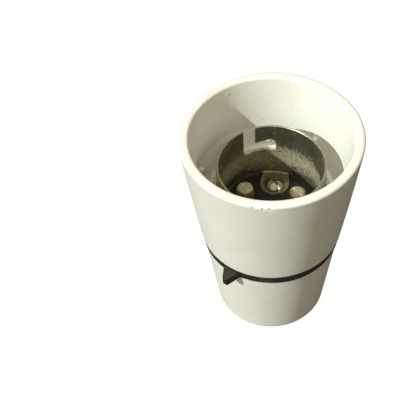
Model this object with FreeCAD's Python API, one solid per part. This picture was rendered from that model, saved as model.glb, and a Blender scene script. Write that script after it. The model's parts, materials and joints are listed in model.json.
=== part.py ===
"""Bayonet lamp holder with a deep skirt, a lock ring and a domed cord cap.

The holder stands on its cap with the lamp mouth up. The origin is the centre of the cap's end,
+Z points out of the mouth, the two plungers lie along X and the two sleeve screws along Y.
All sizes are in millimetres.
"""

import FreeCAD, Part
from FreeCAD import Vector
import math
import os

# --- Cap: the cream cover that the cord enters ---
cap_height = 22.3
cap_end_radius = 12.6
cap_corner_radius = 1.4
cap_end_rise = 1.35
cap_foot_radius = 5.6
cap_wall = 2.0
cap_collar_wall = 1.8
cap_collar_height = 1.1
cord_hole_radius = 4.2
cord_flare_radius = 4.9
cord_flare_depth = 1.4
thread_depth = 0.5
thread_engagement = 6.3
thread_runout = 0.6
key_width = 2.0
key_engagement = 0.5
key_angle = 45.0

# --- Lock ring ---
ring_thickness = 2.2
ring_width = 1.8
ring_overhang = 0.2
ring_edge_radius = 0.2
ring_play = 0.05
lug_reach = 3.3
lug_root_half_width = 2.05
lug_tip_half_width = 0.6
lug_tip_offset = 0.85
lug_tip_radius = 0.5
lug_root_radius = 0.6
lug_angles = (-118.9, 126.1)

# --- Bell: the skirt round the lamp cap, with its threaded spigot ---
bell_height = 28.4
bell_mouth_radius = 19.3
bell_neck_radius = 15.75
bell_bulge = 0.1
bell_rim_width = 2.1
bell_rim_edge_radius = 0.5
bell_neck_edge_radius = 0.6
shoulder_depth = 13.15
shoulder_radius = 15.75
shoulder_drop = 4.05
lip_width = 1.1
lip_step_width = 0.5
lip_step_depth = 0.4
neck_bore_radius = 12.3
ledge_rise = 1.6
spigot_radius = 13.1
spigot_wall = 1.55
spigot_chamfer = 0.35
pip_radius = 0.58
pip_inset = 0.55
pip_edge_radius = 0.2
pip_first_angle = 56.2
pip_count = 3

# --- Bayonet sleeve: pressed sheet metal ---
sleeve_bore_radius = 11.25
sheet_thickness = 0.5
sheet_edge_chamfer = 0.1
sleeve_height = 16.1
guide_height = 7.9
joggle_width = 0.2
joggle_height = 0.3
seam_angle = 25.4
seam_width = 0.12
slot_angle = 9.4
slot_width = 2.6
slot_entry_offset = 4.2
slot_depth = 7.85
slot_rise = 0.75
slot_crest_offset = 0.2
pin_rest_offset = 0.45
pin_rest_depth = 4.1
pin_rest_drop = 0.5
slot_end_radius = 1.3
slot_foot_radius = 0.5
slot_corner_radius = 1.1
tab_root_half_width = 2.9
tab_half_width = 3.3
tab_relief_width = 0.8
tab_relief_height = 1.6
tab_end_offset = 0.9
tab_bend_radius = 0.5

# --- Contact block: the black moulding that carries sleeve and plungers ---
block_flange_thickness = 1.75
boss_height = 0.6
boss_radius = 11.1
block_height = 8.0
turning_clearance = 0.15
guide_length = 3.0

# --- Terminal block, clamped behind the contact block ---
terminal_block_height = 10.2
terminal_block_radius = 10.8
key_clearance = 0.2
wire_hole_radius = 1.5
nut_pocket_depth = 3.2

# --- Plungers, springs and terminals ---
plunger_offset = 5.75
plunger_radius = 1.95
plunger_nose_radius = 1.68
plunger_nose_length = 2.0
plunger_reach = 7.45
plunger_edge_radius = 0.15
plunger_travel = 4.0
running_clearance = 0.06
flange_overhang = 0.6
flange_thickness = 1.0
flange_clearance = 0.15
pilot_radius = 1.1
pilot_clearance = 0.85
spring_wire_radius = 0.22
spring_coil_radius = 1.85
spring_turns = 5
post_height = 8.2
post_clearance = 0.1
post_bore_radius = 1.1
post_bore_depth = 4.2
terminal_screw_height = 2.2
terminal_screw_radius = 1.25
terminal_head_radius = 1.5
terminal_head_length = 1.2
terminal_shank_length = 2.6
terminal_access_clearance = 0.25
screw_slot_width = 0.5
screw_slot_depth = 0.6

# --- Screws and nuts that hold the sleeve and the two blocks together ---
screw_offset = 7.2
screw_radius = 1.25
screw_head_radius = 1.98
screw_head_height = 1.55
screw_head_side = 1.0
screw_hole_clearance = 0.1
recess_arm = 1.15
recess_width = 0.55
recess_depth = 0.9
nut_across_flats = 5.0
nut_thickness = 2.0
nut_clearance = 0.1
nut_hole_clearance = 0.03

# --- Levels, worked out from the sizes above ---
cap_top_z = cap_end_rise + cap_height
ring_bottom_z = cap_top_z + ring_play
ring_top_z = ring_bottom_z + ring_thickness
neck_z = ring_top_z + ring_play
mouth_z = neck_z + bell_height
shoulder_z = mouth_z - shoulder_depth
lip_z = shoulder_z - shoulder_drop
ledge_z = neck_z + ledge_rise
spigot_end_z = cap_top_z - thread_engagement
thread_floor_z = spigot_end_z - thread_runout
sleeve_foot_z = ledge_z + block_flange_thickness
sleeve_rim_z = sleeve_foot_z + sleeve_height
boss_z = sleeve_foot_z + boss_height
tab_top_z = boss_z + sheet_thickness
block_bottom_z = ledge_z - block_height
terminal_bottom_z = block_bottom_z - terminal_block_height
guide_bottom_z = boss_z - guide_length
plunger_flange_z = guide_bottom_z - flange_thickness
plunger_top_z = boss_z + plunger_reach
thread_bore_radius = spigot_radius + thread_depth
ring_radius = thread_bore_radius + ring_width
cap_rim_radius = ring_radius - ring_overhang
spigot_bore_radius = spigot_radius - spigot_wall
plunger_flange_radius = plunger_radius + flange_overhang
chamber_radius = plunger_flange_radius + flange_clearance
cap_taper = (cap_rim_radius - cap_end_radius) / cap_height
sleeve_foot_radius = sleeve_bore_radius + joggle_width
key_inner_radius = terminal_block_radius - key_engagement
pilot_length = plunger_flange_z - plunger_travel - pilot_clearance - block_bottom_z


def vec(radius, z):
    """A point of a turned profile, in the XZ plane."""
    return Vector(radius, 0, z)


def turned(points):
    """A solid of revolution about Z from the corners of its half section."""
    wire = Part.makePolygon([vec(r, z) for r, z in points + points[:1]])
    return Part.Face(wire).revolve(Vector(), Vector(0, 0, 1), 360)


def cylinder(radius, low, high, x=0.0, y=0.0):
    """An upright cylinder between two levels."""
    return Part.makeCylinder(radius, high - low, Vector(x, y, low))


def spun(shape, degrees):
    """A copy turned about Z."""
    copy = shape.copy()
    copy.rotate(Vector(), Vector(0, 0, 1), degrees)
    return copy


def plate(points, low, high):
    """An upright prism from a plan outline."""
    wire = Part.makePolygon([Vector(x, y, low) for x, y in points + points[:1]])
    return Part.Face(wire).extrude(Vector(0, 0, high - low))


def ring_edges(solid, radius, z):
    """The circular edges about Z that have this radius and level."""
    found = []
    for edge in solid.Edges:
        curve = edge.Curve
        if not isinstance(curve, Part.Circle) or abs(curve.Radius - radius) > 1e-3:
            continue
        if abs(curve.Center.z - z) < 1e-3 and math.hypot(curve.Center.x, curve.Center.y) < 1e-3:
            found.append(edge)
    return found


def upright_edges(solid, x, y, reach):
    """The upright edges that stand within reach of a plan point."""
    found = []
    for edge in solid.Edges:
        low = edge.Vertexes[0].Point
        high = edge.Vertexes[-1].Point
        level = math.hypot(high.x - low.x, high.y - low.y) < 1e-6 and abs(high.z - low.z) > 1e-3
        if level and math.hypot(low.x - x, low.y - y) < reach:
            found.append(edge)
    return found


def make_cap():
    """Tapered cover: cord hole in a shallow cone, female thread bore in its mouth."""
    floor_z = cap_end_rise + cap_wall
    inner_low = cap_end_radius - cap_wall
    inner_top = cap_rim_radius - cap_wall - cap_taper * (cap_top_z - thread_floor_z)
    collar = cord_hole_radius + cap_collar_wall
    cone = cap_end_rise / (cap_end_radius - cap_foot_radius)
    collar_z = cap_wall + cone * (collar - cap_foot_radius)
    section = [
        (cord_hole_radius, cord_flare_depth),
        (cord_flare_radius, 0),
        (cap_foot_radius, 0),
        (cap_end_radius, cap_end_rise),
        (cap_rim_radius, cap_top_z),
        (thread_bore_radius, cap_top_z),
        (thread_bore_radius, thread_floor_z),
        (inner_top, thread_floor_z),
        (inner_low, floor_z),
        (collar, collar_z),
        (collar, collar_z + cap_collar_height),
        (cord_hole_radius, collar_z + cap_collar_height),
    ]
    cap = turned(section)
    cap = cap.makeFillet(cap_corner_radius, ring_edges(cap, cap_end_radius, cap_end_rise))
    cap = cap.makeFillet(cap_corner_radius, ring_edges(cap, inner_low, floor_z))
    key_top = thread_floor_z - ring_play
    key_foot = floor_z - cap_wall / 2
    key = Part.makeBox(
        cap_rim_radius, key_width, key_top - key_foot, Vector(key_inner_radius, -key_width / 2, key_foot)
    )
    key = key.common(turned([
        (0, key_foot),
        (inner_low + cap_wall / 2, key_foot),
        (inner_top + cap_wall / 2, key_top),
        (0, key_top),
    ]))
    for turn in (key_angle, key_angle + 180):
        cap = cap.fuse(spun(key, turn))
    return cap.removeSplitter()


def make_lock_ring():
    """Flat ring with two pointed finger lugs."""
    ring = cylinder(ring_radius, ring_bottom_z, ring_top_z)
    tip = ring_radius + lug_reach
    slope = (lug_root_half_width - lug_tip_half_width) / lug_reach
    buried = ring_radius - lug_root_half_width
    buried_half_width = lug_tip_half_width + slope * (tip - buried)
    outline = [
        (buried, -buried_half_width),
        (tip, lug_tip_offset - lug_tip_half_width),
        (tip, lug_tip_offset + lug_tip_half_width),
        (buried, buried_half_width),
    ]
    lug = plate(outline, ring_bottom_z, ring_top_z)
    lug = lug.makeFillet(lug_tip_radius, upright_edges(lug, tip, lug_tip_offset, 2 * lug_tip_half_width))
    for angle in lug_angles:
        ring = ring.fuse(spun(lug, angle))
    ring = ring.removeSplitter()
    for angle in lug_angles:
        x = ring_radius * math.cos(math.radians(angle))
        y = ring_radius * math.sin(math.radians(angle))
        ring = ring.makeFillet(lug_root_radius, upright_edges(ring, x, y, 1.2 * lug_root_half_width))
    rims = [e for e in ring.Edges if abs(e.Vertexes[0].Z - e.Vertexes[-1].Z) < 1e-6]
    ring = ring.makeFillet(ring_edge_radius, rims)
    return ring.cut(cylinder(thread_bore_radius, ring_bottom_z - 1, ring_top_z + 1))


def make_bell():
    """Flared skirt, funnel-shaped shoulder with pips, a stepped lip, a ledge for the block, and spigot."""
    step_radius = neck_bore_radius + lip_step_width
    lip_radius = step_radius + lip_width
    step_z = lip_z - lip_step_depth
    inner_mouth = bell_mouth_radius - bell_rim_width
    corners = [
        (bell_mouth_radius, mouth_z),
        (inner_mouth, mouth_z),
        (shoulder_radius, shoulder_z),
        (lip_radius, lip_z),
        (step_radius, lip_z),
        (step_radius, step_z),
        (neck_bore_radius, step_z),
        (neck_bore_radius, ledge_z),
        (spigot_bore_radius, ledge_z),
        (spigot_bore_radius, spigot_end_z),
        (spigot_radius, spigot_end_z),
        (spigot_radius, neck_z),
        (bell_neck_radius, neck_z),
    ]
    middle = vec((bell_mouth_radius + bell_neck_radius) / 2 + bell_bulge, (mouth_z + neck_z) / 2)
    side = Part.Arc(vec(*corners[-1]), middle, vec(*corners[0])).toShape()
    section = Part.Wire([*Part.makePolygon([vec(r, z) for r, z in corners]).Edges, side])
    bell = Part.Face(section).revolve(Vector(), Vector(0, 0, 1), 360)
    rims = ring_edges(bell, bell_mouth_radius, mouth_z) + ring_edges(bell, inner_mouth, mouth_z)
    bell = bell.makeFillet(bell_rim_edge_radius, rims)
    bell = bell.makeFillet(bell_neck_edge_radius, ring_edges(bell, bell_neck_radius, neck_z))
    bell = bell.makeChamfer(spigot_chamfer, ring_edges(bell, spigot_radius, spigot_end_z))
    slope = shoulder_drop / (shoulder_radius - lip_radius)
    pip_foot = shoulder_z - slope * (pip_inset + pip_radius)
    pip = cylinder(pip_radius, pip_foot - pip_edge_radius, shoulder_z, shoulder_radius - pip_inset)
    rim = [e for e in pip.Edges if e.Vertexes[0].Z > pip_foot and isinstance(e.Curve, Part.Circle)]
    pip = pip.makeFillet(pip_edge_radius, rim)
    for turn in range(pip_count):
        bell = bell.fuse(spun(pip, pip_first_angle + turn * 360 / pip_count))
    return bell


def bayonet_slot():
    """Cutter for one J slot: an entry from the rim, a run that rises to a crest, then the pin's rest."""
    far = sleeve_bore_radius + 4 * sheet_thickness
    left = -slot_entry_offset - slot_width / 2
    right = -slot_entry_offset + slot_width / 2
    low = sleeve_rim_z - slot_depth
    crest = low + slot_rise
    rest_low = crest - pin_rest_drop
    rest_top = sleeve_rim_z - pin_rest_depth
    end = pin_rest_offset + slot_end_radius

    def at(x, z):
        return Vector(x, 0, z)

    def bow(radius):
        return radius * (1 - math.sqrt(0.5))

    corner, foot, head = slot_corner_radius, slot_foot_radius, slot_end_radius
    edges = [
        Part.LineSegment(at(left, sleeve_rim_z + 1), at(left, low + corner)),
        Part.Arc(
            at(left, low + corner), at(left + bow(corner), low + bow(corner)), at(left + corner, low)
        ),
        Part.LineSegment(at(left + corner, low), at(-slot_crest_offset, crest)),
        Part.LineSegment(at(-slot_crest_offset, crest), at(pin_rest_offset, rest_low)),
        Part.LineSegment(at(pin_rest_offset, rest_low), at(end - foot, rest_low)),
        Part.Arc(
            at(end - foot, rest_low), at(end - bow(foot), rest_low + bow(foot)), at(end, rest_low + foot)
        ),
        Part.LineSegment(at(end, rest_low + foot), at(end, rest_top - head)),
        Part.Arc(
            at(end, rest_top - head), at(end - bow(head), rest_top - bow(head)), at(end - head, rest_top)
        ),
        Part.LineSegment(at(end - head, rest_top), at(right, rest_top - slot_rise)),
        Part.LineSegment(at(right, rest_top - slot_rise), at(right, sleeve_rim_z + 1)),
        Part.LineSegment(at(right, sleeve_rim_z + 1), at(left, sleeve_rim_z + 1)),
    ]
    outline = Part.Wire([edge.toShape() for edge in edges])
    return Part.Face(outline).extrude(Vector(0, far, 0))


def sleeve_tab():
    """One foot of the sleeve, bent inwards over the block's boss, with a round end."""
    end_y = screw_offset + tab_end_offset
    root_y = sleeve_foot_radius + sheet_thickness / 2
    start = Vector(-tab_root_half_width, root_y, boss_z)
    left = Vector(-tab_half_width, end_y, boss_z)
    tip = Vector(0, end_y - tab_half_width, boss_z)
    right = Vector(tab_half_width, end_y, boss_z)
    finish = Vector(tab_root_half_width, root_y, boss_z)
    edges = [
        Part.LineSegment(start, left).toShape(),
        Part.Arc(left, tip, right).toShape(),
        Part.LineSegment(right, finish).toShape(),
        Part.LineSegment(finish, start).toShape(),
    ]
    tab = Part.Face(Part.Wire(edges)).extrude(Vector(0, 0, sheet_thickness))
    tab = tab.common(cylinder(sleeve_foot_radius + sheet_thickness / 2, boss_z, tab_top_z))
    hole = screw_radius + screw_hole_clearance
    return tab.cut(cylinder(hole, boss_z - 1, tab_top_z + 1, 0, screw_offset))


def bend_fillet():
    """The inside radius where a tab turns out of the sleeve's wall."""
    inner = sleeve_foot_radius - tab_bend_radius
    outer = sleeve_foot_radius + sheet_thickness / 2
    block = turned([
        (inner, tab_top_z),
        (outer, tab_top_z),
        (outer, tab_top_z + tab_bend_radius),
        (inner, tab_top_z + tab_bend_radius),
    ])
    ring = Part.makeTorus(inner, tab_bend_radius, Vector(0, 0, tab_top_z + tab_bend_radius))
    block = block.cut(ring)
    window = Part.makeBox(
        2 * tab_root_half_width, outer, 2 * tab_bend_radius, Vector(-tab_root_half_width, 0, tab_top_z)
    )
    fillet = block.common(window)
    return max(fillet.Solids, key=lambda solid: solid.CenterOfMass.y)


def make_sleeve():
    """Rolled sleeve with two J slots, joggled outwards below them, and two screw tabs."""
    guide_z = sleeve_rim_z - guide_height
    joggle_z = guide_z - joggle_height
    outer = sleeve_foot_radius + sheet_thickness
    sleeve = turned([
        (sleeve_foot_radius, sleeve_foot_z),
        (outer, sleeve_foot_z),
        (outer, joggle_z),
        (sleeve_bore_radius + sheet_thickness, guide_z),
        (sleeve_bore_radius + sheet_thickness, sleeve_rim_z - sheet_edge_chamfer),
        (sleeve_bore_radius + sheet_thickness - sheet_edge_chamfer, sleeve_rim_z),
        (sleeve_bore_radius + sheet_edge_chamfer, sleeve_rim_z),
        (sleeve_bore_radius, sleeve_rim_z - sheet_edge_chamfer),
        (sleeve_bore_radius, guide_z),
        (sleeve_foot_radius, joggle_z),
    ])
    seam = Part.makeBox(2 * outer, seam_width, 2 * sleeve_height)
    seam.translate(Vector(0, -seam_width / 2, sleeve_foot_z - 1))
    sleeve = sleeve.cut(spun(seam, seam_angle))
    relief = Part.makeBox(
        tab_relief_width, 2 * outer, tab_relief_height + 1,
        Vector(tab_root_half_width, 0, sleeve_foot_z - 1),
    )
    gap = Part.makeBox(
        2 * tab_root_half_width, 2 * outer, boss_height + 1,
        Vector(-tab_root_half_width, 0, sleeve_foot_z - 1),
    )
    mirror_relief = relief.copy()
    mirror_relief.translate(Vector(-2 * tab_root_half_width - tab_relief_width, 0, 0))
    slot = spun(bayonet_slot(), slot_angle)
    for turn in (0, 180):
        for cutter in (slot, relief, mirror_relief, gap):
            sleeve = sleeve.cut(spun(cutter, turn))
        sleeve = sleeve.fuse(spun(sleeve_tab(), turn))
        sleeve = sleeve.fuse(spun(bend_fillet(), turn))
    return sleeve.removeSplitter()


def make_contact_block():
    """Black disc that rests on the bell's ledge, with two stepped plunger bores."""
    rim = neck_bore_radius - turning_clearance
    body = spigot_bore_radius - turning_clearance
    block = turned([
        (0, block_bottom_z),
        (body, block_bottom_z),
        (body, ledge_z),
        (rim, ledge_z),
        (rim, sleeve_foot_z),
        (boss_radius, sleeve_foot_z),
        (boss_radius, boss_z),
        (0, boss_z),
    ])
    for side in (-1, 1):
        x = side * plunger_offset
        block = block.cut(cylinder(plunger_radius + running_clearance, guide_bottom_z - 1, boss_z + 1, x))
        block = block.cut(cylinder(chamber_radius, block_bottom_z - 1, guide_bottom_z, x))
        hole = screw_radius + screw_hole_clearance
        block = block.cut(cylinder(hole, block_bottom_z - 1, boss_z + 1, 0, side * screw_offset))
    return block


def hexagon(across_flats, low, high, x, y):
    """An upright hexagonal prism with two flats square to Y."""
    radius = across_flats / math.sqrt(3)
    angles = [math.radians(60 * k) for k in range(6)]
    return plate([(x + radius * math.cos(a), y + radius * math.sin(a)) for a in angles], low, high)


def make_terminal_block():
    """Lower moulding: pockets for the terminal posts, nut pockets, wire holes and key slots."""
    block = cylinder(terminal_block_radius, terminal_bottom_z, block_bottom_z)
    post_bottom_z = block_bottom_z - post_height
    screw_z = post_bottom_z + terminal_screw_height
    pocket = plunger_flange_radius + flange_clearance
    access = terminal_head_radius + terminal_access_clearance
    for side in (-1, 1):
        x = side * plunger_offset
        block = block.cut(cylinder(pocket, post_bottom_z, block_bottom_z + 1, x))
        block = block.cut(cylinder(wire_hole_radius, terminal_bottom_z - 1, post_bottom_z + 1, x))
        way = Part.makeCylinder(access, terminal_block_radius, Vector(x, 0, screw_z), Vector(side, 0, 0))
        block = block.cut(way)
        y = side * screw_offset
        hole = screw_radius + screw_hole_clearance
        block = block.cut(cylinder(hole, terminal_bottom_z - 1, block_bottom_z + 1, 0, y))
        seat_z = terminal_bottom_z + nut_pocket_depth
        size = nut_across_flats + 2 * nut_clearance
        block = block.cut(hexagon(size, terminal_bottom_z - 1, seat_z, 0, y))
    width = key_width + 2 * key_clearance
    key_slot = Part.makeBox(
        terminal_block_radius, width, terminal_block_height + 2,
        Vector(key_inner_radius - key_clearance, -width / 2, terminal_bottom_z - 1),
    )
    for turn in (key_angle, key_angle + 180):
        block = block.cut(spun(key_slot, turn))
    return block


def make_plunger(side):
    """Brass contact pin with a tapered nose, a stop flange and a pilot for its spring."""
    x = side * plunger_offset
    nose_z = plunger_top_z - plunger_nose_length
    pin = turned([
        (0, plunger_flange_z - pilot_length),
        (pilot_radius, plunger_flange_z - pilot_length),
        (pilot_radius, plunger_flange_z),
        (plunger_flange_radius, plunger_flange_z),
        (plunger_flange_radius, guide_bottom_z),
        (plunger_radius, guide_bottom_z),
        (plunger_radius, nose_z),
        (plunger_nose_radius, plunger_top_z),
        (0, plunger_top_z),
    ])
    pin = pin.makeFillet(plunger_edge_radius, ring_edges(pin, plunger_nose_radius, plunger_top_z))
    pin.translate(Vector(x, 0, 0))
    return pin


def make_spring(side):
    """Open coil between the plunger's flange and the terminal post."""
    low = block_bottom_z + spring_wire_radius
    high = plunger_flange_z - spring_wire_radius
    length = high - low
    helix = Part.makeHelix(length / spring_turns, length, spring_coil_radius)
    start = Vector(spring_coil_radius, 0, 0)
    profile = Part.Wire([Part.makeCircle(spring_wire_radius, start, Vector(0, 1, 0))])
    spring = Part.Wire(helix.Edges).makePipeShell([profile], True, True)
    spring.translate(Vector(side * plunger_offset, 0, low))
    return spring


def make_terminal_post(side):
    """Brass post: wire hole from below, cross hole for the terminal screw."""
    x = side * plunger_offset
    radius = plunger_flange_radius + flange_clearance - post_clearance
    bottom = block_bottom_z - post_height
    post = cylinder(radius, bottom, block_bottom_z, x)
    post = post.cut(cylinder(post_bore_radius, bottom - 1, bottom + post_bore_depth, x))
    cross = Part.makeCylinder(
        terminal_screw_radius + nut_hole_clearance, 2 * radius,
        Vector(x, 0, bottom + terminal_screw_height), Vector(side, 0, 0),
    )
    return post.cut(cross)


def make_terminal_screw(side):
    """Cheese-head screw that clamps the wire in its post."""
    bottom = block_bottom_z - post_height
    start = plunger_offset + plunger_flange_radius + flange_clearance - terminal_shank_length
    z = bottom + terminal_screw_height
    head_x = start + terminal_shank_length
    along = Vector(side, 0, 0)
    shank = Part.makeCylinder(terminal_screw_radius, terminal_shank_length, Vector(side * start, 0, z), along)
    head = Part.makeCylinder(terminal_head_radius, terminal_head_length, Vector(side * head_x, 0, z), along)
    outer_x = head_x + terminal_head_length
    slot = Part.makeBox(2 * screw_slot_depth, screw_slot_width, 4 * terminal_head_radius)
    slot.translate(Vector(side * outer_x - screw_slot_depth, -screw_slot_width / 2, z - 2 * terminal_head_radius))
    return shank.fuse(head).cut(slot)


def make_sleeve_screw(side):
    """Domed cross-recess screw through tab and both blocks."""
    y = side * screw_offset
    dome_rise = screw_head_height - screw_head_side
    sphere_radius = (screw_head_radius**2 + dome_rise**2) / (2 * dome_rise)
    head_top = tab_top_z + screw_head_height
    head = cylinder(screw_head_radius, tab_top_z, head_top, 0, y)
    head = head.common(Part.makeSphere(sphere_radius, Vector(0, y, head_top - sphere_radius)))
    for width, length in ((recess_width, 2 * recess_arm), (2 * recess_arm, recess_width)):
        arm = Part.makeBox(width, length, 2 * recess_depth)
        arm.translate(Vector(-width / 2, y - length / 2, head_top - recess_depth))
        head = head.cut(arm)
    low = terminal_bottom_z + nut_pocket_depth - nut_thickness - screw_radius / 3
    return head.fuse(cylinder(screw_radius, low, tab_top_z, 0, y))


def make_sleeve_nut(side):
    """Hexagon nut at the end of a sleeve screw, in its pocket."""
    y = side * screw_offset
    top = terminal_bottom_z + nut_pocket_depth
    nut = hexagon(nut_across_flats, top - nut_thickness, top, 0, y)
    return nut.cut(cylinder(screw_radius + nut_hole_clearance, top - nut_thickness - 1, top + 1, 0, y))


parts = {
    "cap": make_cap(),
    "lock_ring": make_lock_ring(),
    "bell_skirt": make_bell(),
    "bayonet_sleeve": make_sleeve(),
    "contact_block": make_contact_block(),
    "terminal_block": make_terminal_block(),
}
for side, name in ((-1, "left"), (1, "right")):
    parts["plunger_" + name] = make_plunger(side)
    parts["plunger_spring_" + name] = make_spring(side)
    parts["terminal_post_" + name] = make_terminal_post(side)
    parts["terminal_screw_" + name] = make_terminal_screw(side)
for side, name in ((-1, "front"), (1, "back")):
    parts["sleeve_screw_" + name] = make_sleeve_screw(side)
    parts["sleeve_nut_" + name] = make_sleeve_nut(side)

os.makedirs("parts", exist_ok=True)
for name, shape in parts.items():
    shape.exportStep("parts/" + name + ".step")
    print(f"{name:24s} solids {len(shape.Solids)} valid {shape.isValid()} volume {shape.Volume:9.2f} mm3")
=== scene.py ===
# %% [markdown]
# # A bayonet lamp holder
# The solids of the holder are already made at their real size. This lesson dresses them in Blender:
# it loads them as a fixed frame, adds the surfaces that need a finer mesh, such as the bell and the
# screw thread, gives every piece a material made from nodes, and lights the whole like a small object
# on a white table in hard light.

import json
import math

import bpy
import numpy as np
from mathutils import Matrix, Vector


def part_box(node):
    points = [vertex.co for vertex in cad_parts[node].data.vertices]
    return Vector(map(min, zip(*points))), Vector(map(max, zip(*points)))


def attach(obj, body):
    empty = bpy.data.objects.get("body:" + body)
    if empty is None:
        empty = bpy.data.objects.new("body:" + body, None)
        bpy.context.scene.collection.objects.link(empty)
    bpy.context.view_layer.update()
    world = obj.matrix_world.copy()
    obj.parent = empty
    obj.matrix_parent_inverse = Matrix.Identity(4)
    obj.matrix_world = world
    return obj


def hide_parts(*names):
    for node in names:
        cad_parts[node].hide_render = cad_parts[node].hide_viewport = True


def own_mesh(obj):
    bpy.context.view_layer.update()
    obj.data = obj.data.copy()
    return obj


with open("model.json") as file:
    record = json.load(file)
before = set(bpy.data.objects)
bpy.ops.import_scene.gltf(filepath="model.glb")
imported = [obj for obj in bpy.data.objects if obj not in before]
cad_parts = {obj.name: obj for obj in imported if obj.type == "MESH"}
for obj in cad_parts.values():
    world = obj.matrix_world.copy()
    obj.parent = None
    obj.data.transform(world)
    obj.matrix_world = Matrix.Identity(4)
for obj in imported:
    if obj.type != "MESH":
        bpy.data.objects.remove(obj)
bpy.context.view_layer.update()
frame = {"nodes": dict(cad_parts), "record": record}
nodes = frame["nodes"]
MM = 0.001

# %% [markdown]
# ## Sizes
# Places come from the boxes of the solids, so the surfaces made here land exactly where the solids
# are. Only wall thicknesses, steps and edge radii, which a box doesn't show, are written as numbers.

# %% Levels and radii of the bell and the cap
bell_low, bell_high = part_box("bell_skirt")
ring_low, ring_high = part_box("lock_ring")
cap_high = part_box("cap")[1]
block_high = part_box("contact_block")[1]
sleeve_low, sleeve_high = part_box("bayonet_sleeve")

mouth_z = bell_high.z
mouth_radius = bell_high.x
spigot_end_z = bell_low.z
ring_play = ring_low.z - cap_high.z
neck_z = ring_high.z + ring_play
neck_radius = 15.75 * MM
bell_bulge = 0.1 * MM
rim_width = 2.1 * MM
shoulder_z = mouth_z - 13.15 * MM
shoulder_radius = 15.75 * MM
shoulder_drop = 4.05 * MM
neck_bore_radius = block_high.x + 0.15 * MM
step_radius = neck_bore_radius + 0.5 * MM
lip_radius = step_radius + 1.1 * MM
lip_z = shoulder_z - shoulder_drop
step_z = lip_z - 0.4 * MM
ledge_z = neck_z + 1.6 * MM
spigot_radius = 13.1 * MM
spigot_bore_radius = spigot_radius - 1.55 * MM
print("mouth at", round(mouth_z / MM, 2), "mm, neck at", round(neck_z / MM, 2), "mm")

# %% [markdown]
# ## Turned pieces
# The bell is a body of revolution, so one half section tells all about it. The section is a short list
# of corners, each with the radius of its rounding. Every rounded corner becomes a small arc, and the
# whole closed line is then swept round the axis as one grid. A spin modifier would do the same, but
# a grid worked out with numpy can also be worn and dented before it becomes a mesh.

# %% Helpers: rounded outlines
def rounded_outline(corners, steps=6):
    """A closed outline with round corners, from (radius, height, rounding in mm) triples. At a corner
    with half angle a between its two sides, the arc of radius r touches the sides at r / tan(a) from
    the corner, and its centre is r / sin(a) away."""
    corners = np.asarray(corners, float)
    places, roundings = corners[:, :2], corners[:, 2] * MM
    neighbours = np.roll(places, 1, 0), np.roll(places, -1, 0)
    points = []
    for here, before, after, radius in zip(places, *neighbours, roundings):
        if radius == 0:
            points.append(here[None])
            continue
        u = (before - here) / np.linalg.norm(before - here)
        v = (after - here) / np.linalg.norm(after - here)
        half = 0.5 * math.acos(np.clip(u @ v, -1, 1))
        centre = here + (u + v) / np.linalg.norm(u + v) * radius / math.sin(half)
        start = here + u * radius / math.tan(half) - centre
        finish = here + v * radius / math.tan(half) - centre
        t = np.linspace(0, 1, steps)[:, None]
        chord = (1 - t) * start + t * finish
        points.append(centre + chord / np.linalg.norm(chord, axis=1, keepdims=True) * radius)
    return np.vstack(points)


def divided(outline, longest):
    """The same closed outline with points added, so that no side is longer than `longest`."""
    parts = []
    for a, b in zip(outline, np.roll(outline, -1, 0)):
        count = max(1, math.ceil(np.linalg.norm(b - a) / longest))
        parts.append(a + (b - a) * np.linspace(0, 1, count, endpoint=False)[:, None])
    return np.vstack(parts)


print("outline helpers ready")

# %% Helpers: grids and meshes
def grid_faces(rows, columns, close_rows=True, close_columns=True):
    """Four-sided faces of a grid of points, numbered row by row. A closed direction joins its end to its
    start. Where rows are turns about Z and columns run anticlockwise round a half section, the faces
    point outwards."""
    i = np.arange(rows if close_rows else rows - 1)[:, None]
    j = np.arange(columns if close_columns else columns - 1)[None]
    right, up = (j + 1) % columns, (i + 1) % rows
    quads = [i * columns + j, up * columns + j, up * columns + right, i * columns + right]
    return np.stack([np.broadcast_to(q, (i.size, j.size)) for q in quads], -1).reshape(-1, 4)


def mesh_piece(name, points, faces, sharp_degrees=40):
    """A smooth-shaded mesh object from point and face arrays. Edges sharper than the angle stay crisp."""
    mesh = bpy.data.meshes.new(name)
    mesh.from_pydata(np.asarray(points).tolist(), [], [list(face) for face in faces])
    mesh.shade_smooth()
    mesh.set_sharp_from_angle(angle=math.radians(sharp_degrees))
    mesh.validate()
    piece = bpy.data.objects.new(name, mesh)
    bpy.context.scene.collection.objects.link(piece)
    return piece


def turned_grid(outline, sides):
    """Radius, angle and height of every point: the outline (radius, height) repeated at equal angles."""
    angle = np.linspace(0, 2 * math.pi, sides, endpoint=False)[:, None]
    radius = np.broadcast_to(outline[:, 0], (sides, len(outline))).copy()
    height = np.broadcast_to(outline[:, 1], (sides, len(outline))).copy()
    return radius, np.broadcast_to(angle, radius.shape), height


def polar_points(radius, angle, height):
    """Points with x = radius cos(angle), y = radius sin(angle), z = height."""
    return np.stack([radius * np.cos(angle), radius * np.sin(angle), height], -1).reshape(-1, 3)


print("grid and mesh helpers ready")

# %% [markdown]
# ## The bell
# The bell is a thick moulding: a flared skirt, a funnel-shaped shoulder inside it with a small stepped
# lip, and a spigot below. Its outer side is very slightly bowed, which is worked out as a sine on top
# of the straight taper. Small nicks on the rim are dents: each one pushes the surface in along a
# smooth bump, exp(-distance squared), so the wear is part of the shape and not painted on.

# %% Bell surface
bell_sides = 288
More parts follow.
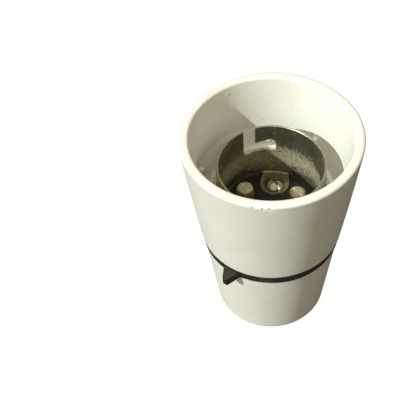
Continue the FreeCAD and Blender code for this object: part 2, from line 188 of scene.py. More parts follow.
# Each corner: radius, height, and the radius of its rounding in mm
bell_corners = [
    (mouth_radius, mouth_z, 0.5),
    (mouth_radius - rim_width, mouth_z, 0.5),
    (shoulder_radius, shoulder_z, 0.12),
    (lip_radius, lip_z, 0.1),
    (step_radius, lip_z, 0.1),
    (step_radius, step_z, 0.05),
    (neck_bore_radius, step_z, 0.12),
    (neck_bore_radius, ledge_z, 0),
    (spigot_bore_radius, ledge_z, 0.1),
    (spigot_bore_radius, spigot_end_z, 0.1),
    (spigot_radius, spigot_end_z, 0.3),
    (spigot_radius, neck_z, 0.1),
    (neck_radius, neck_z, 0.6),
]
outline = divided(rounded_outline(bell_corners), longest=0.6 * MM)
# What lies within this depth of the straight taper is the outer side, and only that is bowed
outer_skin = 0.7 * MM
share = np.clip((outline[:, 1] - neck_z) / (mouth_z - neck_z), 0, 1)
taper = neck_radius + (mouth_radius - neck_radius) * share
outside = outline[:, 0] > taper - outer_skin
outline[:, 0] += np.where(outside, bell_bulge * np.sin(math.pi * share), 0)
radius, angle, height = turned_grid(outline, bell_sides)

# Each nick: angle in degrees, height below the mouth, width along the rim, depth (mm)
rim_nicks = [
    (-95.0, 0.0, 0.5, 0.16), (-89.2, 0.1, 0.7, 0.2), (-85.3, 0.35, 0.6, 0.18), (-51.6, 0.1, 0.5, 0.1),
]
nick_height = 0.35 * MM
for where, below, width, depth in rim_nicks:
    along = (np.degrees(angle) - where + 180) % 360 - 180
    arc = np.radians(along) * mouth_radius / (width * MM)
    drop = (mouth_z - below * MM - height) / nick_height
    outer = radius > mouth_radius - rim_width / 2
    radius -= np.where(outer, depth * MM * np.exp(-(arc**2) - drop**2), 0)

bell_points = polar_points(radius, angle, height)
bell_faces = grid_faces(bell_sides, len(outline))
print("bell grid", bell_sides, "x", len(outline))

# %% [markdown]
# ## Small turned pieces
# Pips, plungers and screws are solids of revolution as well, but they reach the axis. So the grid of the
# body is closed by a fan of triangles round one point at the foot and one at the top.

# %% Helper: a closed turned solid
def turned_solid(section, foot, top, centre, around=28):
    """Points and faces of a closed solid: the open half section (radius, height) runs from the edge of
    the flat foot to the edge of the top, and each end is closed by triangles to one point on the axis."""
    rings, turns, heights = turned_grid(np.asarray(section), around)
    body = polar_points(rings, turns, heights)
    points = np.vstack([body, [[0, 0, foot], [0, 0, top]]]) + np.array([*centre, 0])
    rows = len(section)
    quads = grid_faces(around, rows, close_columns=False)
    j = np.arange(around) * rows
    after = np.roll(j, -1)
    low_end = np.stack([after, j, np.full(around, around * rows)], -1)
    high_end = np.stack([j + rows - 1, after + rows - 1, np.full(around, around * rows + 1)], -1)
    return points, quads.tolist() + low_end.tolist() + high_end.tolist()


print("turned solids ready")

# %% [markdown]
# Three small pips stand in the shoulder, a third of a turn apart. Each is a short round peg whose flat
# top is level with the shoulder's edge, so its foot is sunk in the sloping funnel. They are moulded in
# one with the bell, so their points and faces simply join the bell's own lists.

# %% Pips on the shoulder
all_points, all_faces = [bell_points], bell_faces.tolist()
pip_radius, pip_inset = 0.58 * MM, 0.55 * MM
pip_reach = shoulder_radius - pip_inset
pip_foot = shoulder_z - 2.6 * MM
pip_corners = [
    (0, pip_foot, 0), (pip_radius, pip_foot, 0), (pip_radius, shoulder_z, 0.2), (0, shoulder_z, 0),
]
# Its two ends on the axis are left out, as the closed solid adds them
pip_section = rounded_outline(pip_corners, steps=5)[1:-1]
pip_turns = np.radians(56.2 + 120 * np.arange(3))
for turn in pip_turns:
    centre = (pip_reach * math.cos(turn), pip_reach * math.sin(turn))
    points, faces = turned_solid(pip_section, pip_foot, shoulder_z, centre)
    start = sum(len(p) for p in all_points)
    all_points.append(points)
    all_faces += [[corner + start for corner in face] for face in faces]

bell = mesh_piece("bell", np.vstack(all_points), all_faces)
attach(bell, "bell")
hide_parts("bell_skirt")
print("bell faces", len(bell.data.polygons))

# %% [markdown]
# ## Plungers
# A plunger is a brass pin that the lamp's contact pushes in. A flange keeps it in its bore, and a thin
# pilot below the flange holds the spring. Its nose is rounded over by use. One half section tells all
# of that, so a turned solid is the shortest way to make it.

# %% Plungers
pilot_radius, pilot_length = 1.1 * MM, 1.5 * MM
flange_step, flange_height = 0.6 * MM, 1.0 * MM
nose_height, nose_draft, nose_drop, nose_flat = 2 * MM, 0.15 * MM, 0.08 * MM, 1.2 * MM
plungers = []
for side in ("left", "right"):
    low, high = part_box("plunger_" + side)
    foot, top = low.z, high.z
    flange = foot + pilot_length
    guide = flange + flange_height
    reach = (high.x - low.x) / 2
    shaft = reach - flange_step
    corners = [
        (0, foot, 0),
        (pilot_radius, foot, 0),
        (pilot_radius, flange, 0),
        (reach, flange, 0.1),
        (reach, guide, 0.1),
        (shaft, guide, 0),
        (shaft, top - nose_height, 0.3),
        (shaft - nose_draft, top - nose_drop, 0.5),
        (nose_flat, top, 0.4),
        (0, top, 0),
    ]
    section = divided(rounded_outline(corners), longest=0.8 * MM)
    off_axis = section[:, 0] > 0.001 * MM
    section = section[off_axis]
    points, faces = turned_solid(section, foot, top, ((low.x + high.x) / 2, 0), around=64)
    piece = mesh_piece("nose_" + side, points, faces, sharp_degrees=50)
    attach(piece, "plunger_" + side)
    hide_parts("plunger_" + side)
    plungers.append(piece)
print("plungers:", len(plungers))

# %% [markdown]
# ## Springs
# Under each plunger stands a coil spring. Its wire runs along a helix, and the round section is laid out
# with two directions at each point: outwards from the axis, and upwards at right angles to the wire. As
# the plunger is pressed the coil flattens towards its foot.

# %% Coil springs
def coil(radius, wire, low, high, turns, centre, steps=40, around=12):
    """Points of a coiled wire: at angle a the middle is (R cos a, R sin a, low + rise a), and the section
    adds w cos b outwards and w sin b along the direction square to both the wire and the radius."""
    a = np.linspace(0, 2 * math.pi * turns, turns * steps)[:, None]
    b = np.linspace(0, 2 * math.pi, around, endpoint=False)[None]
    lean = math.atan((high - low) / (2 * math.pi * turns * radius))
    out = radius + wire * np.cos(b) + 0 * a
    shift = -math.sin(lean) * wire * np.sin(b)
    x = centre[0] + out * np.cos(a) - shift * np.sin(a)
    y = centre[1] + out * np.sin(a) + shift * np.cos(a)
    z = low + (high - low) * a / a.max() + math.cos(lean) * wire * np.sin(b)
    return np.stack([x, y, z], -1).reshape(-1, 3), len(a), around


springs = []
coil_radius, wire, coil_turns = 1.85 * MM, 0.22 * MM, 5
for side in ("left", "right"):
    low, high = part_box("plunger_spring_" + side)
    where = ((low.x + high.x) / 2, (low.y + high.y) / 2)
    points, rows, around = coil(coil_radius, wire, low.z + wire, high.z - wire, coil_turns, where)
    faces = grid_faces(rows, around, close_rows=False).tolist()
    last = len(points) - around
    faces += [list(range(around)), list(range(last, last + around))[::-1]]
    piece = mesh_piece("coil_" + side, points, faces)
    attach(piece, "interior")
    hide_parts("plunger_spring_" + side)
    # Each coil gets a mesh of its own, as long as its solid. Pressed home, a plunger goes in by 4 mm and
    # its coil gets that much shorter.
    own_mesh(piece)
    springs.append(piece)

# %% [markdown]
# ## Sleeve screws
# The two screws that hold the sleeve have a domed head with a cross recess. The dome falls away from its
# top as the radius to a power, which gives a flat middle and steep sides. The recess is a dip in the
# dome: each arm is the product of two smooth steps, one across the arm and one along it.

# %% Sleeve screws
def smooth_step(value):
    """0 below 0, 1 above 1, and 3 v^2 - 2 v^3 between."""
    value = np.clip(value, 0, 1)
    return value * value * (3 - 2 * value)


def cross_recess(along, across):
    """1 inside an upright cross and 0 outside it, with soft sides: the greater of its two arms."""
    half_width, side, reach, end = 0.36 * MM, 0.14 * MM, 1.35 * MM, 0.3 * MM
    arms = [
        smooth_step((half_width - np.abs(a)) / side) * smooth_step((reach - np.abs(b)) / end)
        for a, b in ((along, across), (across, along))
    ]
    return np.maximum(*arms)


screws = []
head_radius, head_side, dome_rise, dome_power = 2.2 * MM, 0.55 * MM, 1.0 * MM, 2.2
screw_radius, recess_depth = 1.25 * MM, 0.8 * MM
# Only the upper part of the dome is pushed in by the recess
dome_share = 0.8
dome_rings = 33
for name in ("sleeve_screw_front", "sleeve_screw_back"):
    low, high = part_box(name)
    seat = high.z - head_side - dome_rise
    share = np.linspace(0, 1, dome_rings, endpoint=False)
    dome = np.stack([head_radius * (1 - share), high.z - dome_rise * (1 - share) ** dome_power], -1)
    section = np.vstack([[(screw_radius, low.z), (screw_radius, seat), (head_radius, seat)], dome])
    centre = ((low.x + high.x) / 2, (low.y + high.y) / 2)
    points, faces = turned_solid(section, low.z, high.z, centre, around=112)
    x, y = points[:, 0] - centre[0], points[:, 1] - centre[1]
    dip = recess_depth * cross_recess((x + y) / math.sqrt(2), (x - y) / math.sqrt(2))
    on_dome = points[:, 2] > high.z - dome_rise * dome_share
    points[:, 2] -= np.where(on_dome, dip, 0)
    piece = mesh_piece(name + "_head", points, faces, sharp_degrees=60)
    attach(piece, "interior")
    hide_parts(name)
    screws.append(piece)
print("screws:", len(screws))

# %% [markdown]
# ## Screw thread
# The cap screws onto the bell's spigot. A moulded thread is a low ridge with sloping sides that runs
# round as a helix: while the angle grows by one turn, the height grows by one pitch. The ridge's
# section is a small trapezium, and it shrinks away at both ends, as a moulded thread does. The cap's
# ridge lies halfway between two turns of the spigot's.

# %% Thread ridges on the spigot and in the cap
thread_pitch = 2.5 * MM
thread_gap = 0.5 * MM
ridge_height = 0.4 * MM
# The ridge's section: across in mm, and out as a share of the ridge's height
ridge_section = np.array([(-0.72, -0.15), (-0.3, 1), (0.3, 1), (0.72, -0.15)])
# The ridge shrinks over this share of a turn, down to a small share of its section
run_out, smallest = 0.2, 0.02


def thread_ridge(name, root, rise, low, turns, points_per_turn=72):
    """A helical ridge: at turn t the section's centre is at angle 2 pi t and height low + pitch t. The
    section shrinks evenly towards both ends. A negative rise makes a ridge that points inwards."""
    t = np.linspace(0, turns, int(turns * points_per_turn))[:, None]
    fade = np.clip(np.minimum(t, turns - t) / run_out, smallest, 1)
    radius = root + rise * ridge_section[:, 1] * fade
    angle = 2 * math.pi * t + 0 * radius
    height = low + thread_pitch * t + ridge_section[:, 0] * MM * fade
    points = polar_points(radius, angle, height)
    faces = grid_faces(len(t), 4, close_rows=False)
    last = len(points) - 4
    ends = np.array([[0, 1, 2, 3], [last + 3, last + 2, last + 1, last]])
    faces = np.vstack([faces, ends])
    if rise < 0:
        faces = faces[:, ::-1]
    return mesh_piece(name, points, faces, sharp_degrees=25)


thread_low = spigot_end_z + 0.9 * MM
spigot_thread = thread_ridge("spigot_thread", spigot_radius, ridge_height, thread_low, turns=2.4)
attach(spigot_thread, "bell")
bore_radius = spigot_radius + thread_gap
between = thread_low + thread_pitch / 2
cap_thread = thread_ridge("cap_thread", bore_radius, -ridge_height, between, turns=1.7)
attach(cap_thread, "cap")
print("threads: pitch", thread_pitch / MM, "mm")

# %% [markdown]
# ## Node helpers
# A material is built from many small nodes. These helpers keep the wiring short: each one adds a node,
# sets or links its inputs, and hands back the node or the socket that the next step needs.

# %% Node helpers
def new_node(tree, kind, values=None, **settings):
    """Adds a node and sets its properties. Inputs go by name or number, and a socket value is linked."""
    node = tree.nodes.new(kind)
    for key, value in settings.items():
        setattr(node, key, value)
    for key, value in (values or {}).items():
        if isinstance(value, bpy.types.NodeSocket):
            tree.links.new(value, node.inputs[key])
        else:
            node.inputs[key].default_value = value
    return node


def math_node(tree, operation, *values, clamp=False):
    """A Math node; returns its output socket."""
    node = new_node(tree, "ShaderNodeMath", dict(enumerate(values)), operation=operation, use_clamp=clamp)
    return node.outputs[0]


def vector_node(tree, operation, *values, **named):
    """A Vector Math node; returns the node, as some operations put out a vector and some a value."""
    inputs = {**dict(enumerate(values)), **named}
    return new_node(tree, "ShaderNodeVectorMath", inputs, operation=operation)


print("node helpers ready")

# %% Helpers: places, noise and ramps
def object_place(tree):
    """The place on the piece in the piece's own coordinates, as a socket."""
    return new_node(tree, "ShaderNodeTexCoord").outputs["Object"]


def noise_node(tree, place, scale, **named):
    """A Noise texture at a place; further inputs go by name."""
    return new_node(tree, "ShaderNodeTexNoise", {"Vector": place, "Scale": scale, **named})


def ramp(tree, value, low=0, high=1, first=0, last=1):
    """`first` where the value is `low`, `last` where it is `high`, straight between and level beyond."""
    values = {"Value": value, "From Min": low, "From Max": high, "To Min": first, "To Max": last}
    return new_node(tree, "ShaderNodeMapRange", values).outputs[0]


def swing(tree, noise, size):
    """A noise value from 0 to 1, made to run from minus half the size to plus half of it."""
    return math_node(tree, "MULTIPLY_ADD", noise, size, -size / 2)


print("pattern helpers ready")

# %% [markdown]
# ## Node groups
# Several finishes share the same effects, so each effect is a node group with named inputs, built
# once. A material places the group and gives it its own values. Every pattern reads the place on the
# piece in the piece's own coordinates, so it stays where it is on the surface when the piece moves.

# %% Helper: an empty node group
FLOAT, VECTOR = "NodeSocketFloat", "NodeSocketVector"


def new_group(name, inputs, output):
    """An empty shader node group with one float output; returns the tree and its two end nodes."""
    tree = bpy.data.node_groups.new(name, "ShaderNodeTree")
    for label, kind, value in inputs:
        socket = tree.interface.new_socket(label, in_out="INPUT", socket_type=kind)
        socket.default_value = value
    tree.interface.new_socket(output, in_out="OUTPUT", socket_type=FLOAT)
    return tree, tree.nodes.new("NodeGroupInput"), tree.nodes.new("NodeGroupOutput")


print("group helper ready, sockets:", FLOAT, VECTOR)

# %% [markdown]
# Fine grain is the base of every finish here. It is a noise round one half, with its contrast raised
# or lowered. At a small scale the same group makes slow stains.

# %% Group: fine grain
grain, start, finish = new_group(
    "fine grain", [("Scale", FLOAT, 1000), ("Detail", FLOAT, 3), ("Contrast", FLOAT, 1)], "Value"
)
noise = noise_node(grain, object_place(grain), start.outputs["Scale"], Detail=start.outputs["Detail"])
centred = math_node(grain, "SUBTRACT", noise.outputs[0], 0.5)
scaled = math_node(grain, "MULTIPLY", centred, start.outputs["Contrast"])
grain.links.new(math_node(grain, "ADD", scaled, 0.5, clamp=True), finish.inputs["Value"])
print("group:", grain.name)

# %% [markdown]
# Dust and pits are small, rare and ragged. Each cell of a Voronoi pattern holds one dot, the cell's
# random colour lets only a share of the dots through, and a noise bends their outlines.

# %% Group: scattered specks
specks, start, finish = new_group(
    "specks", [("Scale", FLOAT, 400), ("Size", FLOAT, 0.2), ("Share", FLOAT, 0.1)], "Mask"
)
bend = 0.9 * MM
place = object_place(specks)
warp = noise_node(specks, place, 1800)
shifted = vector_node(specks, "MULTIPLY_ADD", warp.outputs["Color"], (bend, bend, bend), place)
cell_inputs = {"Vector": shifted.outputs[0], "Scale": start.outputs["Scale"]}
cells = new_node(specks, "ShaderNodeTexVoronoi", cell_inputs)
dot = math_node(specks, "LESS_THAN", cells.outputs["Distance"], start.outputs["Size"])
chance = new_node(specks, "ShaderNodeSeparateColor", {0: cells.outputs["Color"]})
rare = math_node(specks, "LESS_THAN", chance.outputs[0], start.outputs["Share"])
specks.links.new(math_node(specks, "MULTIPLY", dot, rare), finish.inputs["Mask"])
print("group:", specks.name)

# %% [markdown]
# A single mark, such as a chip or a spot of dirt, sits at a chosen place. Its mask comes from the
# distance to that place, divided by the mark's size, and a noise makes that size uneven.

# %% Group: a single mark
mark, start, finish = new_group("mark", [("Centre", VECTOR, (0, 0, 0)), ("Size", FLOAT, 0.3 * MM)], "Mask")
# In shares of the size: no mark beyond the edge, and a full one inside the core
mark_edge, mark_core = 1.15, 0.7
place = object_place(mark)
warp = noise_node(mark, place, 3000, Detail=2)
apart = vector_node(mark, "DISTANCE", place, start.outputs["Centre"])
# The noise is one half on average, so twice the noise keeps the average size
uneven = math_node(mark, "MULTIPLY", warp.outputs[0], 2)
reach = math_node(mark, "MULTIPLY", start.outputs["Size"], uneven)
ratio = math_node(mark, "DIVIDE", apart.outputs["Value"], reach)
mark.links.new(ramp(mark, ratio, mark_edge, mark_core), finish.inputs["Mask"])
print("group:", mark.name)

# %% [markdown]
# Edges that stick out are rubbed paler. The geometry's Pointiness says how sharply the surface turns at
# a point, and a noise added to it makes the wear come and go along an edge.

# %% Group: worn edges
wear, start, finish = new_group(
    "edge wear", [("Start", FLOAT, 0.52), ("End", FLOAT, 0.6), ("Breakup", FLOAT, 900)], "Mask"
)
edge_wobble = 0.06
shape = new_node(wear, "ShaderNodeNewGeometry")
noise = noise_node(wear, object_place(wear), start.outputs["Breakup"])
wobble = swing(wear, noise.outputs[0], edge_wobble)
edge = math_node(wear, "ADD", shape.outputs["Pointiness"], wobble)
wear.links.new(ramp(wear, edge, start.outputs["Start"], start.outputs["End"]), finish.inputs["Mask"])
print("group:", wear.name)

# %% [markdown]
# ## Materials
# Each finish starts from one colour, which is then shifted by slow stains and fine grain. Roughness
# and a faint bump follow the same grain, so light breaks up as it does on the real thing. Colours are
# written as display values and turned into the linear ones that a shader reckons with.

# %% Material helpers
def place_group(tree, group, **values):
    """Puts a node group in a material and sets its inputs by name."""
    node = tree.nodes.new("ShaderNodeGroup")
    node.node_tree = group
    for key, value in values.items():
        node.inputs[key].default_value = value
    return node.outputs[0]


def mixed(tree, share, first, second):
    """A colour between two colours; share may be a socket."""
    node = new_node(tree, "ShaderNodeMix", data_type="RGBA")
    for socket, value in ((node.inputs[0], share), (node.inputs[6], first), (node.inputs[7], second)):
        if isinstance(value, bpy.types.NodeSocket):
            tree.links.new(value, socket)
        else:
            socket.default_value = value
    return node.outputs[2]


def colour(red, green, blue):
    """A linear colour from 0 to 255 display values: ((c / 255 + 0.055) / 1.055) to the power 2.4."""
    return tuple(((c / 255 + 0.055) / 1.055) ** 2.4 for c in (red, green, blue)) + (1.0,)


def new_material(name, roughness=0.5, metallic=0.0, specular=0.5):
    """A material with a Principled shader; returns the material, its tree and the shader."""
    material = bpy.data.materials.new(name)
    material.use_nodes = True
    tree = material.node_tree
    shader = tree.nodes["Principled BSDF"]
    shader.inputs["Roughness"].default_value = roughness
    shader.inputs["Metallic"].default_value = metallic
    shader.inputs["Specular IOR Level"].default_value = specular
    return material, tree, shader


def bumped(tree, shader, height, distance):
    """Feeds a height into the shader's normal through a Bump node; distance is in metres."""
    bump = new_node(tree, "ShaderNodeBump", {"Height": height, "Distance": distance})
    tree.links.new(bump.outputs[0], shader.inputs["Normal"])


print("material helpers ready")

# %% [markdown]
# The cap and the bell are old cream mouldings. A slow stain runs between two close creams, grit dulls
# them in places, and a few specks are darker. The marks that use has left are set one by one with the
# mark group. The stain steers the roughness too, so the sheen is as uneven as the colour.

# %% Cream moulded plastic
cream, tree, shader = new_material("cream_plastic")
stain = place_group(tree, grain, Scale=110, Detail=6, Contrast=2.2)
grit = place_group(tree, grain, Scale=2300, Detail=2, Contrast=3.0)
fine = place_group(tree, grain, Scale=2600, Detail=2, Contrast=0.9)
dirt = place_group(tree, specks, Scale=330, Size=0.13, Share=0.03)
grit_share = 0.3
base = mixed(tree, stain, colour(251, 250, 244), colour(240, 239, 228))
base = mixed(tree, math_node(tree, "MULTIPLY", grit, grit_share), base, colour(226, 224, 208))
base = mixed(tree, dirt, base, colour(232, 230, 214))
# Each mark: angle in degrees, radius and depth below the mouth, size (mm), and how dark it is
marks = [
    (127.8, 16.95, 2.31, 0.22, 0.6), (79.9, 16.51, 6.7, 0.2, 0.45), (102.6, 16.02, 11.49, 0.3, 0.2),
    (27.0, 15.75, 12.6, 0.22, 0.6), (-95.0, 19.15, 0.4, 0.24, 0.6), (-89.2, 19.15, 0.42, 0.2, 0.6),
    (-85.3, 19.15, 0.5, 0.28, 0.6),
]
for degrees, out, below, size, dark in marks:
    turn = math.radians(degrees)
    spot = (out * MM * math.cos(turn), out * MM * math.sin(turn), mouth_z - below * MM)
    share = math_node(tree, "MULTIPLY", place_group(tree, mark, Centre=spot, Size=size * MM), dark)
    base = mixed(tree, share, base, colour(112, 106, 88))
tree.links.new(base, shader.inputs["Base Color"])
tree.links.new(ramp(tree, stain, first=0.36, last=0.5), shader.inputs["Roughness"])
bumped(tree, shader, fine, 0.01 * MM)
print("material:", cream.name, "with", len(marks), "marks")

# %% [markdown]
# The plain finishes are alike: two tones of one colour in a grain, a faint bump of the same grain, and
# mostly a paler tone on rubbed edges. One function makes them all.

# %% Helper: a plain finish
def plain_finish(name, roughness, tones, pattern, metallic=0.0, bump=0.0, rubbed=None):
    """A finish of two tones in a grain. `pattern` holds the grain's scale, detail and contrast, `bump` is
    in metres, and `rubbed` holds where the edge wear starts and ends, and its tone."""
    material, tree, shader = new_material(name, roughness, metallic)
    scale, detail, contrast = pattern
    pattern_value = place_group(tree, grain, Scale=scale, Detail=detail, Contrast=contrast)
    base = mixed(tree, pattern_value, *tones)
    if rubbed:
        wear_start, wear_end, pale_tone = rubbed
        base = mixed(tree, place_group(tree, wear, Start=wear_start, End=wear_end), base, pale_tone)
    tree.links.new(base, shader.inputs["Base Color"])
    if bump:
        bumped(tree, shader, pattern_value, bump)
    return material


print("plain finish ready")

# %% [markdown]
# The black mouldings are brown-black and not neutral. The lock ring is handled, so its edges are
# rubbed. The blocks lie inside the bell and stay dark.

# %% Black plastic of the lock ring
black = plain_finish(
    "black_plastic",
    0.5,
    (colour(30, 29, 23), colour(42, 40, 31)),
    (1500, 3, 1.2),
    bump=0.02 * MM,
    rubbed=(0.53, 0.6, colour(84, 80, 62)),
)
print("material:", black.name)

# %% Black plastic of the blocks
block_black = plain_finish(
    "block_plastic", 0.55, (colour(20, 20, 16), colour(30, 29, 23)), (1200, 3, 1.2), bump=0.02 * MM
)
print("material:", block_black.name)

# %% [markdown]
# The sleeve's plating is smooth and dark near the rim, where it mirrors the dark inside. Below lies a
# broad worn band that is rough and pale, and the foot is dark again. A node group turns the depth
# below the rim into the band's mask: two soft steps, each shifted by fine noise, so that the edges
# look eaten and not ruled. On one side the band's upper edge lies lower.

# %% Group: worn band of the sleeve
band, start, finish = new_group(
    "worn band", [("Rim", FLOAT, 0), ("Top", FLOAT, 6.8 * MM), ("Foot", FLOAT, 12.5 * MM)], "Mask"
)
# The band's upper edge sinks by the sag between two angles round the axis, in radians
sag_depth, sag_begins, sag_full = 2.2 * MM, 0.75, 0.4
eaten_depth, drift_depth = 17 * MM, 2 * MM
half_edge = 0.3 * MM
place = object_place(band)
parts = new_node(band, "ShaderNodeSeparateXYZ", {0: place})
depth = math_node(band, "SUBTRACT", start.outputs["Rim"], parts.outputs["Z"])
around = math_node(band, "ARCTAN2", parts.outputs["Y"], parts.outputs["X"])
sag = ramp(band, around, sag_begins, sag_full, last=sag_depth)
noise = noise_node(band, place, 1700, Detail=6, Roughness=0.75)
drift = noise_node(band, place, 260, Detail=2)
eaten = swing(band, noise.outputs[0], eaten_depth)
eaten = math_node(band, "ADD", eaten, swing(band, drift.outputs[0], drift_depth))
below_top = math_node(band, "SUBTRACT", depth, start.outputs["Top"])
below_top = math_node(band, "SUBTRACT", below_top, sag)
above_foot = math_node(band, "SUBTRACT", start.outputs["Foot"], depth)
steps = []
for distance in (below_top, above_foot):
    shifted = math_node(band, "ADD", distance, eaten)
    steps.append(ramp(band, shifted, -half_edge, half_edge))
band.links.new(math_node(band, "MULTIPLY", *steps), finish.inputs["Mask"])
print("group:", band.name)

# %% Dull plated sleeve: its wall
sleeve_metal, tree, shader = new_material("sleeve_metal")
coarse = place_group(tree, grain, Scale=420, Detail=5, Contrast=2.4)
fine = place_group(tree, grain, Scale=2600, Detail=3, Contrast=2.2)
spots = place_group(tree, specks, Scale=900, Size=0.3, Share=0.1)
worn = place_group(tree, band, Rim=sleeve_high.z)
smooth = mixed(tree, coarse, colour(138, 134, 112), colour(160, 156, 132))
pale = mixed(tree, fine, colour(218, 208, 170), colour(138, 131, 106))
base = mixed(tree, worn, smooth, pale)
base = mixed(tree, spots, base, colour(196, 190, 160))
tree.links.new(ramp(tree, worn, first=0.36, last=0.6), shader.inputs["Roughness"])
bumped(tree, shader, fine, 0.03 * MM)
print("material:", sleeve_metal.name)

# %% [markdown]
# Two parts of the sleeve differ from its wall. The tabs are bent inwards under the screws: their flat
# faces are grey and dull. All faces below the tabs' top that don't lie flat get a near-white tone. These
# are the tabs' trimmed edges and bends and the lowest strip of the sleeve's wall. The tone is bare metal
# on the trimmed edges, and a painted highlight on all of them. The rim's top edge has one even tone, a
# little paler than the wall, which is a faint painted highlight. Height, radius and the way the surface
# faces are enough to tell these parts from the rest.

# %% Dull plated sleeve: its tabs and rim
tab_level = sleeve_low.z + 1.1 * MM
rim_level = sleeve_high.z - 0.04 * MM
inner_reach = sleeve_high.x - 1.3 * MM
flat_from = 0.96
tab_dulling = -0.5
shape = new_node(tree, "ShaderNodeNewGeometry")
facing = new_node(tree, "ShaderNodeSeparateXYZ", {0: shape.outputs["Normal"]})
bare_edge_glint = math_node(tree, "LESS_THAN", math_node(tree, "ABSOLUTE", facing.outputs["Z"]), flat_from)
place = object_place(tree)
parts = new_node(tree, "ShaderNodeSeparateXYZ", {0: place})
on_tab = math_node(tree, "LESS_THAN", parts.outputs["Z"], tab_level)
# Faces that don't lie flat get a painted highlight, as pale as bare metal
tab_tone_and_glint = mixed(tree, bare_edge_glint, colour(112, 108, 86), colour(240, 234, 206))
base = mixed(tree, on_tab, base, tab_tone_and_glint)
# A faint painted highlight on the rim's top edge
rim_highlight = math_node(tree, "GREATER_THAN", parts.outputs["Z"], rim_level)
base = mixed(tree, rim_highlight, base, colour(162, 158, 136))
tree.links.new(base, shader.inputs["Base Color"])

level_place = vector_node(tree, "MULTIPLY", place, (1, 1, 0))
reach = vector_node(tree, "LENGTH", level_place.outputs[0])
inside_wall = math_node(tree, "LESS_THAN", reach.outputs["Value"], inner_reach)
flat_tab = math_node(tree, "MULTIPLY", on_tab, inside_wall)
metal = ramp(tree, worn, first=0.85, last=0.35)
duller = math_node(tree, "MULTIPLY_ADD", flat_tab, tab_dulling, metal, clamp=True)
tree.links.new(duller, shader.inputs["Metallic"])
print("tabs below", round(tab_level / MM, 2), "mm, rim above", round(rim_level / MM, 2), "mm")

# %% [markdown]
# The small metal pieces have plain finishes as well. The plungers and posts are dull brass, so they are
# only partly metallic, and their edges are rubbed. The screws and nuts are plated steel that still
# mirrors, and the springs are drawn wire without any bump.

# %% Dull brass of the plungers and posts
brass = plain_finish(
    "contact_brass",
    0.4,
    (colour(188, 182, 150), colour(150, 144, 116)),
    (500, 4, 1.8),
    metallic=0.6,
    bump=0.02 * MM,
    rubbed=(0.52, 0.58, colour(226, 220, 192)),
)
print("material:", brass.name)

# %% Plated steel of the screws and nuts
steel = plain_finish(
    "screw_steel",
    0.24,
    (colour(214, 210, 190), colour(150, 146, 126)),
    (700, 4, 1.6),
    metallic=1.0,
    bump=0.02 * MM,
    rubbed=(0.52, 0.6, colour(225, 220, 200)),
)
print("material:", steel.name)

# %% Spring wire
spring_steel = plain_finish(
    "spring_steel", 0.3, (colour(176, 176, 170), colour(140, 140, 134)), (900, 3, 1.4), metallic=1.0
)
print("material:", spring_steel.name)

# %% [markdown]
# ## Dressing the solids
# The record says which finish each solid has. A table from slot to material is enough to dress them
# all in one loop, and the new surfaces take theirs from a list of their own.

# %% Assign the materials
finishes = {
    "cream_plastic": cream,
    "black_plastic": black,
    "block_plastic": block_black,
    "sleeve_metal": sleeve_metal,
    "contact_brass": brass,
    "spring_steel": spring_steel,
    "screw_steel": steel,
}
for part in frame["record"]["subparts"]:
    slots = nodes[part["node"]].data.materials
    slots.clear()
    slots.append(finishes[part["material_slot"]])

new_surfaces = [
    ((bell, spigot_thread, cap_thread), cream),
    (plungers, brass),
    (screws, steel),
    (springs, spring_steel),
]
for pieces, finish in new_surfaces:
    for piece in pieces:
        piece.data.materials.append(finish)

# %% [markdown]
# ## The white sheet
# The holder stands on a white sheet. To the camera the sheet is a dark surface that also glows almost
# white, which leaves only a faint shadow on it. For all other light it is dark and doesn't glow, so
# the holder isn't lit from below.

# %% Sheet
sheet_reach = 2.0
points = np.array([(-1, -1, 0), (1, -1, 0), (1, 1, 0), (-1, 1, 0)]) * sheet_reach
floor = mesh_piece("floor", points, np.array([[0, 1, 2, 3]]))
sheet_glow = 0.97
white, tree, shader = new_material("white_sheet", 0.9, specular=0.1)
rays = new_node(tree, "ShaderNodeLightPath")
base = mixed(tree, rays.outputs["Is Camera Ray"], (0.1, 0.1, 0.09, 1), (0.08, 0.08, 0.07, 1))
tree.links.new(base, shader.inputs["Base Color"])
glow = math_node(tree, "MULTIPLY", rays.outputs["Is Camera Ray"], sheet_glow)
tree.links.new(glow, shader.inputs["Emission Strength"])
shader.inputs["Emission Color"].default_value = (1, 1, 1, 1)
floor.data.materials.append(white)
print("sheet reaches", sheet_reach, "m each way")

# %% [markdown]
# ## Sun and sky
# The light is a hard sun on the left, in front of the holder and 40 degrees high, so one sun lamp with
# a small angle makes the crisp shadow edges. The sky fills the shadows with two warm lights: one from
# above, which is strongest overhead, and a yellower one from low down on the sun's side. The camera
# sees plain white instead. The holder's own axes are turned a little to the view, so the sun and the
# camera are both turned by the same angle round it.

# %% Sun
stand_turn = math.radians(5.7)
sun_azimuth = math.radians(216.3) + stand_turn
sun_height = math.radians(39.6)
sun_data = bpy.data.lights.new("sun", "SUN")
sun_data.energy = 3.15
sun_data.angle = math.radians(0.6)
sun_data.color = (0.89, 0.97, 1.0)
sun = bpy.data.objects.new("sun", sun_data)
sun_side = Vector((math.cos(sun_azimuth), math.sin(sun_azimuth), 0))
toward = sun_side * math.cos(sun_height) + Vector((0, 0, math.sin(sun_height)))
sun.rotation_euler = toward.to_track_quat("Z", "Y").to_euler()
bpy.context.scene.collection.objects.link(sun)
print("sun from", round(math.degrees(sun_azimuth)), "degrees, height", round(math.degrees(sun_height)))

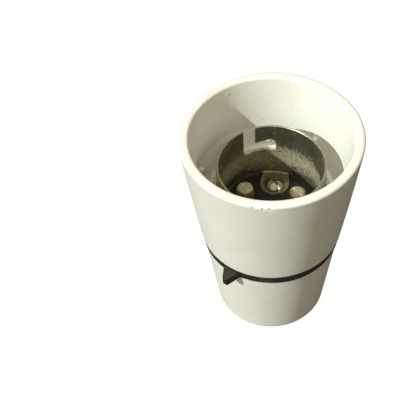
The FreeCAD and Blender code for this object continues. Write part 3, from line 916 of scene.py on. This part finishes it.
# %% Sky
top_tint, side_tint = (0.78, 0.71, 0.58), (0.86, 0.68, 0.36)
world = bpy.data.worlds.new("studio")
bpy.context.scene.world = world
world.use_nodes = True
tree = world.node_tree
sky = tree.nodes["Background"]
rays = new_node(tree, "ShaderNodeLightPath")
place = new_node(tree, "ShaderNodeTexCoord").outputs["Generated"]
parts = new_node(tree, "ShaderNodeSeparateXYZ", {0: place})
overhead = math_node(tree, "MAXIMUM", parts.outputs["Z"], 0)
facing = vector_node(tree, "DOT_PRODUCT", place, sun_side)
level = math_node(tree, "SUBTRACT", 1, overhead)
low = math_node(tree, "MULTIPLY", facing.outputs["Value"], level, clamp=True)
low = math_node(tree, "MULTIPLY", low, math_node(tree, "GREATER_THAN", parts.outputs["Z"], 0))
top_light = vector_node(tree, "SCALE", top_tint, Scale=overhead)
side_light = vector_node(tree, "SCALE", side_tint, Scale=low)
both = vector_node(tree, "ADD", top_light.outputs[0], side_light.outputs[0])
sky_colour = mixed(tree, rays.outputs["Is Camera Ray"], both.outputs[0], (1, 1, 1, 1))
tree.links.new(sky_colour, sky.inputs["Color"])
print("sky:", world.name)

# %% [markdown]
# ## Camera
# The camera looks down at 50 degrees from 0.2 m in front of the mouth. It is aimed to the left of the
# holder, which then stands in the right half of the view.

# %% Camera
view_height = math.radians(50.25)
view_distance = 215.55 * MM
aim = Vector((0.24 * MM, 0, mouth_z - 20.8 * MM))
pan = math.radians(4.23206)
roll = math.radians(0.40107)
away = Vector((0, math.cos(view_height), -math.sin(view_height)))
right = Vector((1, 0, 0))
upward = right.cross(away)
eye = aim - away * view_distance
forward = away * math.cos(pan) - right * math.sin(pan)
side = right * math.cos(pan) + away * math.sin(pan)
level_side = side * math.cos(roll) + upward * math.sin(roll)
level_up = upward * math.cos(roll) - side * math.sin(roll)
turn = Matrix.Rotation(stand_turn, 4, "Z")
axes = Matrix((level_side, level_up, -forward)).transposed().to_4x4()
camera_data = bpy.data.cameras.new("camera")
camera_data.sensor_width = 36
camera_data.lens = 87.57
camera = bpy.data.objects.new("camera", camera_data)
camera.matrix_world = turn @ Matrix.Translation(eye) @ axes
bpy.context.scene.collection.objects.link(camera)
bpy.context.scene.camera = camera
bpy.context.scene.view_settings.view_transform = "Standard"
print("camera at", [round(c / MM, 1) for c in camera.matrix_world.translation])
